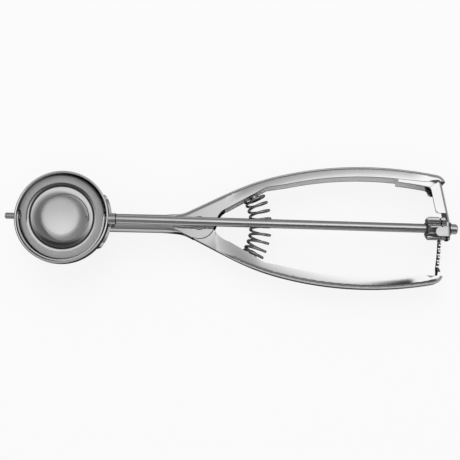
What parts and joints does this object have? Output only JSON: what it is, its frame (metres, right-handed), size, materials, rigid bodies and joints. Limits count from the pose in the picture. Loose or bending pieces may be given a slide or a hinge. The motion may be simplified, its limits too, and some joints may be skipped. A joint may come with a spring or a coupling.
{
  "type": "ice cream scoop",
  "caption": "Ice cream scoop: a round steel bowl with a turning wiper, a spindle driven by rack and pinion, two bowed channel handles on a rivet and a coil return spring.",
  "frame": {"origin": "middle of the outline box in X and Y, at the height of the lowest point of the bowl's back", "axes": "+X along the scoop from the bowl to the end button, +Y towards the fixed handle and away from the lever, +Z the way the bowl's mouth faces, square to the plane that the handles open in"},
  "size_m": [0.2314, 0.0638, 0.0284],
  "materials": {
    "bowl_steel": "mirror polished stainless steel",
    "handle_steel": "polished stainless sheet",
    "clip_steel": "satin stainless sheet",
    "spindle_steel": "polished stainless bar",
    "wiper_steel": "satin stainless strip",
    "gear_steel": "machined stainless steel",
    "rivet_steel": "polished rivet steel",
    "spring_steel": "bright drawn spring wire"
  },
  "bodies": {
    "frame": {"bowl": "bowl_steel", "saddle": "handle_steel", "front_bush": "handle_steel", "frame_handle": "handle_steel", "hinge_rivet": "rivet_steel", "upper_spring_peg": "rivet_steel", "guard_clip": "clip_steel", "rear_bush": "rivet_steel", "return_spring": "spring_steel"},
    "lever": {"lever_handle": "handle_steel", "hinge_spacer": "rivet_steel", "lower_spring_peg": "rivet_steel", "rack_strip": "gear_steel", "rack_rivet_front": "rivet_steel", "rack_rivet_rear": "rivet_steel"},
    "spindle": {"spindle_rod": "spindle_steel", "wiper": "wiper_steel", "front_pin": "spindle_steel", "pinion": "gear_steel", "pinion_pin": "rivet_steel", "end_washer": "rivet_steel", "end_button": "spindle_steel"}
  },
  "joints": [
    {"name": "lever_squeeze", "type": "hinge", "parent": "frame", "child": "lever", "pos_m": [-0.01667, 0, 0.01124], "axis": [0, 0, 1], "range_deg": [0, 6.53], "stiffness_Nm_per_rad": 6, "springref_deg": -6.88, "deforming": ["return_spring"]},
    {"name": "spindle_turn", "type": "hinge", "parent": "frame", "child": "spindle", "pos_m": [-0.08667, 0, 0.02405], "axis": [0.9986, 0, -0.0523], "range_deg": [0, 163]}
  ],
  "couplings": [
    {"joint": "spindle_turn", "follows": "lever_squeeze", "ratio": 24.95}
  ]
}
